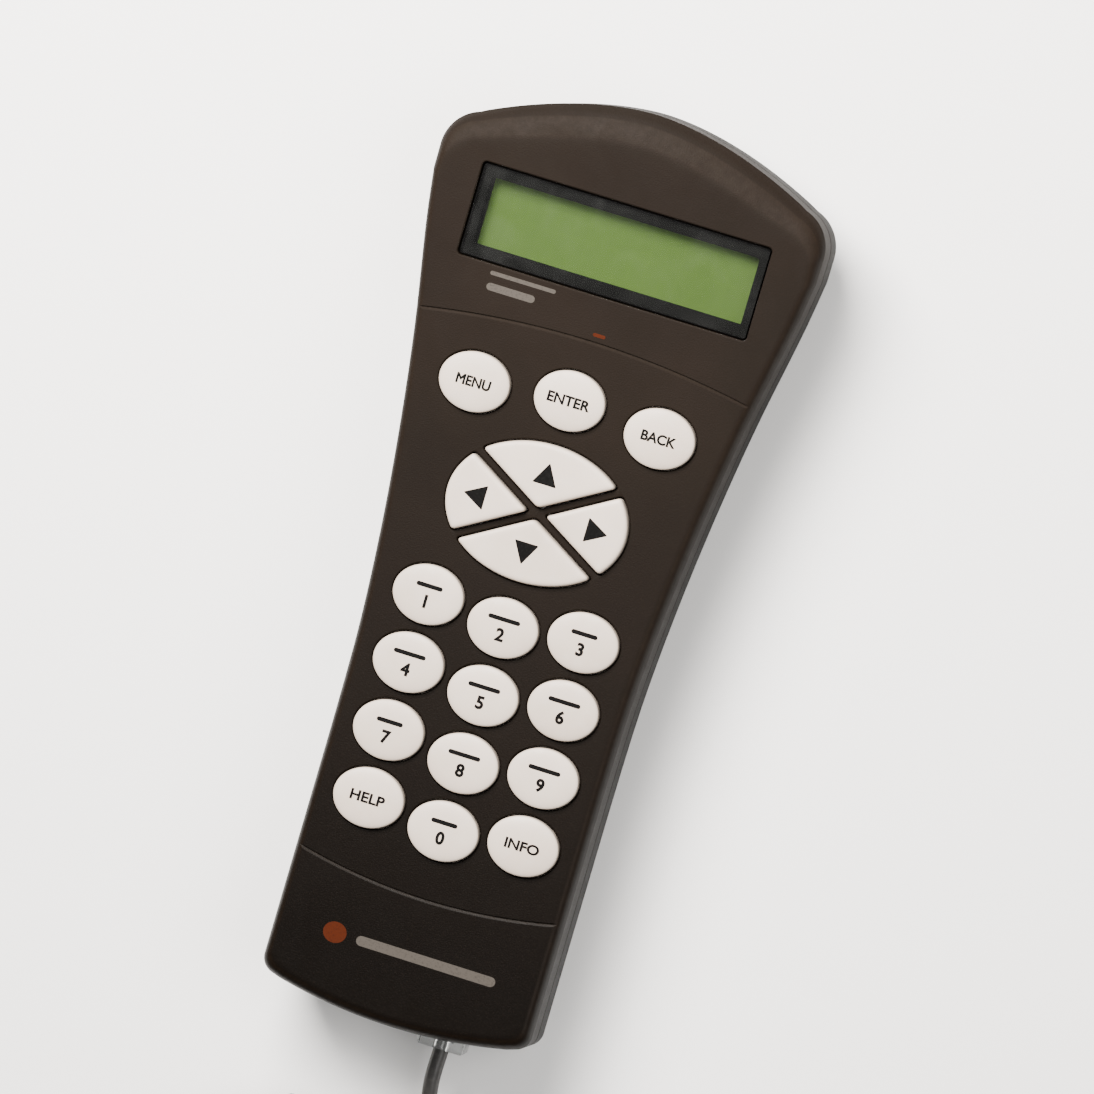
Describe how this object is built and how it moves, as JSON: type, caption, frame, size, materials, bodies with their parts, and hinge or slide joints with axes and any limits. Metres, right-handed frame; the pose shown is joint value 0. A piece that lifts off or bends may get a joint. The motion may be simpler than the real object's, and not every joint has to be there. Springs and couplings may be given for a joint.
{
  "type": "hand controller",
  "caption": "Hand-held keypad controller with a wide display head, oval rubber keys, a four-way pad, modular jacks and a curly cord.",
  "frame": {"origin": "centre of the case's footprint on the surface it lies on, at its back face", "axes": "+Z out of the keypad face, +Y towards the display end, +X to the right seen from the front"},
  "size_m": [0.0849, 0.2806, 0.0288],
  "materials": {
    "case": "fine moulded texture, warm near-black",
    "key": "satin silicone rubber, warm light grey",
    "window": "clear polished acrylic",
    "lcd": "yellow-green display cell",
    "backlight": "milky light guide",
    "steel": "plated",
    "board": "green solder mask",
    "mat": "matt silicone sheet",
    "chip": "moulded epoxy",
    "foam": "black foam",
    "jack": "black moulded nylon",
    "label": "satin silver film, blank",
    "cord": "satin black cord jacket",
    "plug": "clear moulded polycarbonate"
  },
  "bodies": {
    "controller": {"front_shell": "case", "back_shell": "case", "display_window": "window", "lcd_gasket": "foam", "lcd_frame": "steel", "lcd_glass": "lcd", "lcd_backlight": "backlight", "lcd_board": "board", "main_board": "board", "keypad_mat": "mat", "cord_jack": "jack", "serial_jack": "jack", "processor": "chip", "memory_chip": "chip", "serial_driver": "chip", "crystal": "steel", "lcd_header": "chip", "back_label": "label", "case_screw_top_left": "steel", "case_screw_top_right": "steel", "case_screw_bottom_left": "steel", "case_screw_bottom_right": "steel", "board_screw_top_left": "steel", "board_screw_top_right": "steel", "board_screw_middle_left": "steel", "board_screw_middle_right": "steel", "board_screw_lower_left": "steel", "board_screw_lower_right": "steel", "plug_inner": "plug", "cord_lead_inner": "cord", "cord_coil": "cord", "cord_lead_outer": "cord", "plug_outer": "plug"},
    "key_menu": {"key_menu": "key"},
    "key_enter": {"key_enter": "key"},
    "key_back": {"key_back": "key"},
    "key_up": {"key_up": "key"},
    "key_right": {"key_right": "key"},
    "key_down": {"key_down": "key"},
    "key_left": {"key_left": "key"},
    "key_1": {"key_1": "key"},
    "key_2": {"key_2": "key"},
    "key_3": {"key_3": "key"},
    "key_4": {"key_4": "key"},
    "key_5": {"key_5": "key"},
    "key_6": {"key_6": "key"},
    "key_7": {"key_7": "key"},
    "key_8": {"key_8": "key"},
    "key_9": {"key_9": "key"},
    "key_help": {"key_help": "key"},
    "key_0": {"key_0": "key"},
    "key_info": {"key_info": "key"}
  },
  "joints": [
    {"name": "key_menu_press", "type": "slide", "parent": "controller", "child": "key_menu", "axis": [0, 0, -1], "range_m": [0, 0.001], "stiffness_N_per_m": 600},
    {"name": "key_enter_press", "type": "slide", "parent": "controller", "child": "key_enter", "axis": [0, 0, -1], "range_m": [0, 0.001], "stiffness_N_per_m": 600},
    {"name": "key_back_press", "type": "slide", "parent": "controller", "child": "key_back", "axis": [0, 0, -1], "range_m": [0, 0.001], "stiffness_N_per_m": 600},
    {"name": "key_up_press", "type": "slide", "parent": "controller", "child": "key_up", "axis": [0, 0, -1], "range_m": [0, 0.001], "stiffness_N_per_m": 600},
    {"name": "key_right_press", "type": "slide", "parent": "controller", "child": "key_right", "axis": [0, 0, -1], "range_m": [0, 0.001], "stiffness_N_per_m": 600},
    {"name": "key_down_press", "type": "slide", "parent": "controller", "child": "key_down", "axis": [0, 0, -1], "range_m": [0, 0.001], "stiffness_N_per_m": 600},
    {"name": "key_left_press", "type": "slide", "parent": "controller", "child": "key_left", "axis": [0, 0, -1], "range_m": [0, 0.001], "stiffness_N_per_m": 600},
    {"name": "key_1_press", "type": "slide", "parent": "controller", "child": "key_1", "axis": [0, 0, -1], "range_m": [0, 0.001], "stiffness_N_per_m": 600},
    {"name": "key_2_press", "type": "slide", "parent": "controller", "child": "key_2", "axis": [0, 0, -1], "range_m": [0, 0.001], "stiffness_N_per_m": 600},
    {"name": "key_3_press", "type": "slide", "parent": "controller", "child": "key_3", "axis": [0, 0, -1], "range_m": [0, 0.001], "stiffness_N_per_m": 600},
    {"name": "key_4_press", "type": "slide", "parent": "controller", "child": "key_4", "axis": [0, 0, -1], "range_m": [0, 0.001], "stiffness_N_per_m": 600},
    {"name": "key_5_press", "type": "slide", "parent": "controller", "child": "key_5", "axis": [0, 0, -1], "range_m": [0, 0.001], "stiffness_N_per_m": 600},
    {"name": "key_6_press", "type": "slide", "parent": "controller", "child": "key_6", "axis": [0, 0, -1], "range_m": [0, 0.001], "stiffness_N_per_m": 600},
    {"name": "key_7_press", "type": "slide", "parent": "controller", "child": "key_7", "axis": [0, 0, -1], "range_m": [0, 0.001], "stiffness_N_per_m": 600},
    {"name": "key_8_press", "type": "slide", "parent": "controller", "child": "key_8", "axis": [0, 0, -1], "range_m": [0, 0.001], "stiffness_N_per_m": 600},
    {"name": "key_9_press", "type": "slide", "parent": "controller", "child": "key_9", "axis": [0, 0, -1], "range_m": [0, 0.001], "stiffness_N_per_m": 600},
    {"name": "key_help_press", "type": "slide", "parent": "controller", "child": "key_help", "axis": [0, 0, -1], "range_m": [0, 0.001], "stiffness_N_per_m": 600},
    {"name": "key_0_press", "type": "slide", "parent": "controller", "child": "key_0", "axis": [0, 0, -1], "range_m": [0, 0.001], "stiffness_N_per_m": 600},
    {"name": "key_info_press", "type": "slide", "parent": "controller", "child": "key_info", "axis": [0, 0, -1], "range_m": [0, 0.001], "stiffness_N_per_m": 600}
  ]
}
